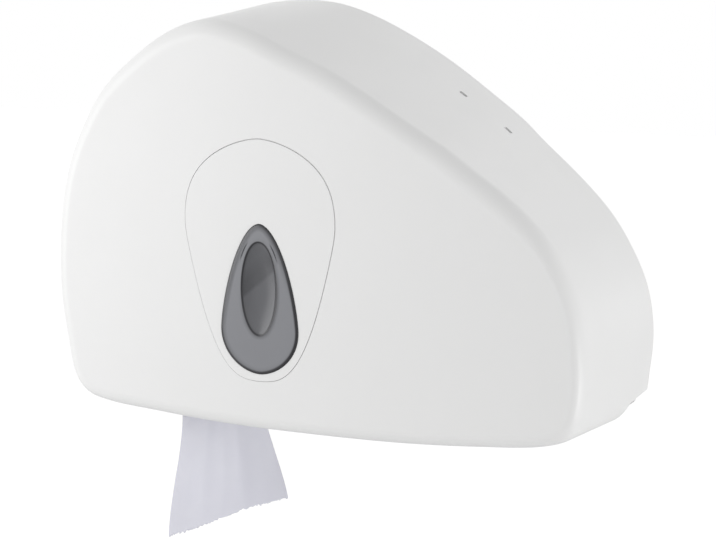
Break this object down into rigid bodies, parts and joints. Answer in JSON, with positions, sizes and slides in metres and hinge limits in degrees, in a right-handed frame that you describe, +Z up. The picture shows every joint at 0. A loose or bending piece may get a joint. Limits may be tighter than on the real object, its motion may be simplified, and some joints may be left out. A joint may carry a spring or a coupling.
{
  "type": "jumbo toilet roll dispenser",
  "caption": "Wall-mounted toilet roll dispenser with a hinged curved cover, smoke level window, key latch, post for a jumbo roll and post for a stub roll.",
  "frame": {"origin": "centre of the four wall screws, on the back face of the back plate", "axes": "+X to the right, +Y into the wall, +Z up"},
  "size_m": [0.4529, 0.131, 0.4207],
  "materials": {
    "white_plastic": "smooth satin-gloss moulded white",
    "grey_plastic": "fine matt moulded grey",
    "smoke_window": "polished translucent smoke",
    "bare_steel": "brushed",
    "plated_steel": "bright zinc plated",
    "tissue": "soft absorbent paper",
    "cardboard": "dull grey-brown card"
  },
  "bodies": {
    "wall_unit": {"back_plate": "white_plastic", "hinge_pins": "plated_steel", "roll_post": "grey_plastic", "roll_post_screws": "plated_steel", "roll_post_cap": "grey_plastic", "stub_post": "grey_plastic", "stub_post_screws": "plated_steel", "stub_post_cap": "grey_plastic", "latch_housing": "grey_plastic", "latch_housing_screws": "plated_steel", "tissue_tail": "tissue"},
    "jumbo_roll": {"core_sleeve": "grey_plastic", "cardboard_core": "cardboard", "paper_roll": "tissue"},
    "stub_spool": {"stub_sleeve": "grey_plastic"},
    "latch": {"latch_slider": "grey_plastic", "latch_springs": "plated_steel"},
    "cover": {"front_cover": "white_plastic", "insert_panel": "white_plastic", "level_window": "smoke_window", "window_retainer": "white_plastic", "window_rivets": "white_plastic", "hinge_arms": "white_plastic", "hinge_arm_screws": "plated_steel", "catch_plate": "bare_steel", "catch_screws": "plated_steel", "jumbo_tear_bar": "bare_steel", "stub_tear_bar": "bare_steel", "tear_bar_rivets": "plated_steel"}
  },
  "joints": [
    {"name": "cover_hinge", "type": "hinge", "parent": "wall_unit", "child": "cover", "pos_m": [0, -0.024, -0.0861], "axis": [1, 0, 0], "range_deg": [0, 90], "deforming": ["tissue_tail"]},
    {"name": "roll_spin", "type": "hinge", "parent": "wall_unit", "child": "jumbo_roll", "pos_m": [-0.078, -0.0605, 0.06], "axis": [0, 1, 0], "continuous": true},
    {"name": "stub_spin", "type": "hinge", "parent": "wall_unit", "child": "stub_spool", "pos_m": [0.14, -0.057, -0.017], "axis": [0, 1, 0], "continuous": true},
    {"name": "latch_press", "type": "slide", "parent": "wall_unit", "child": "latch", "axis": [-0.5611, 0, -0.8277], "range_m": [0, 0.004], "stiffness_N_per_m": 400, "springref_m": -0.003, "deforming": ["latch_springs"]}
  ]
}
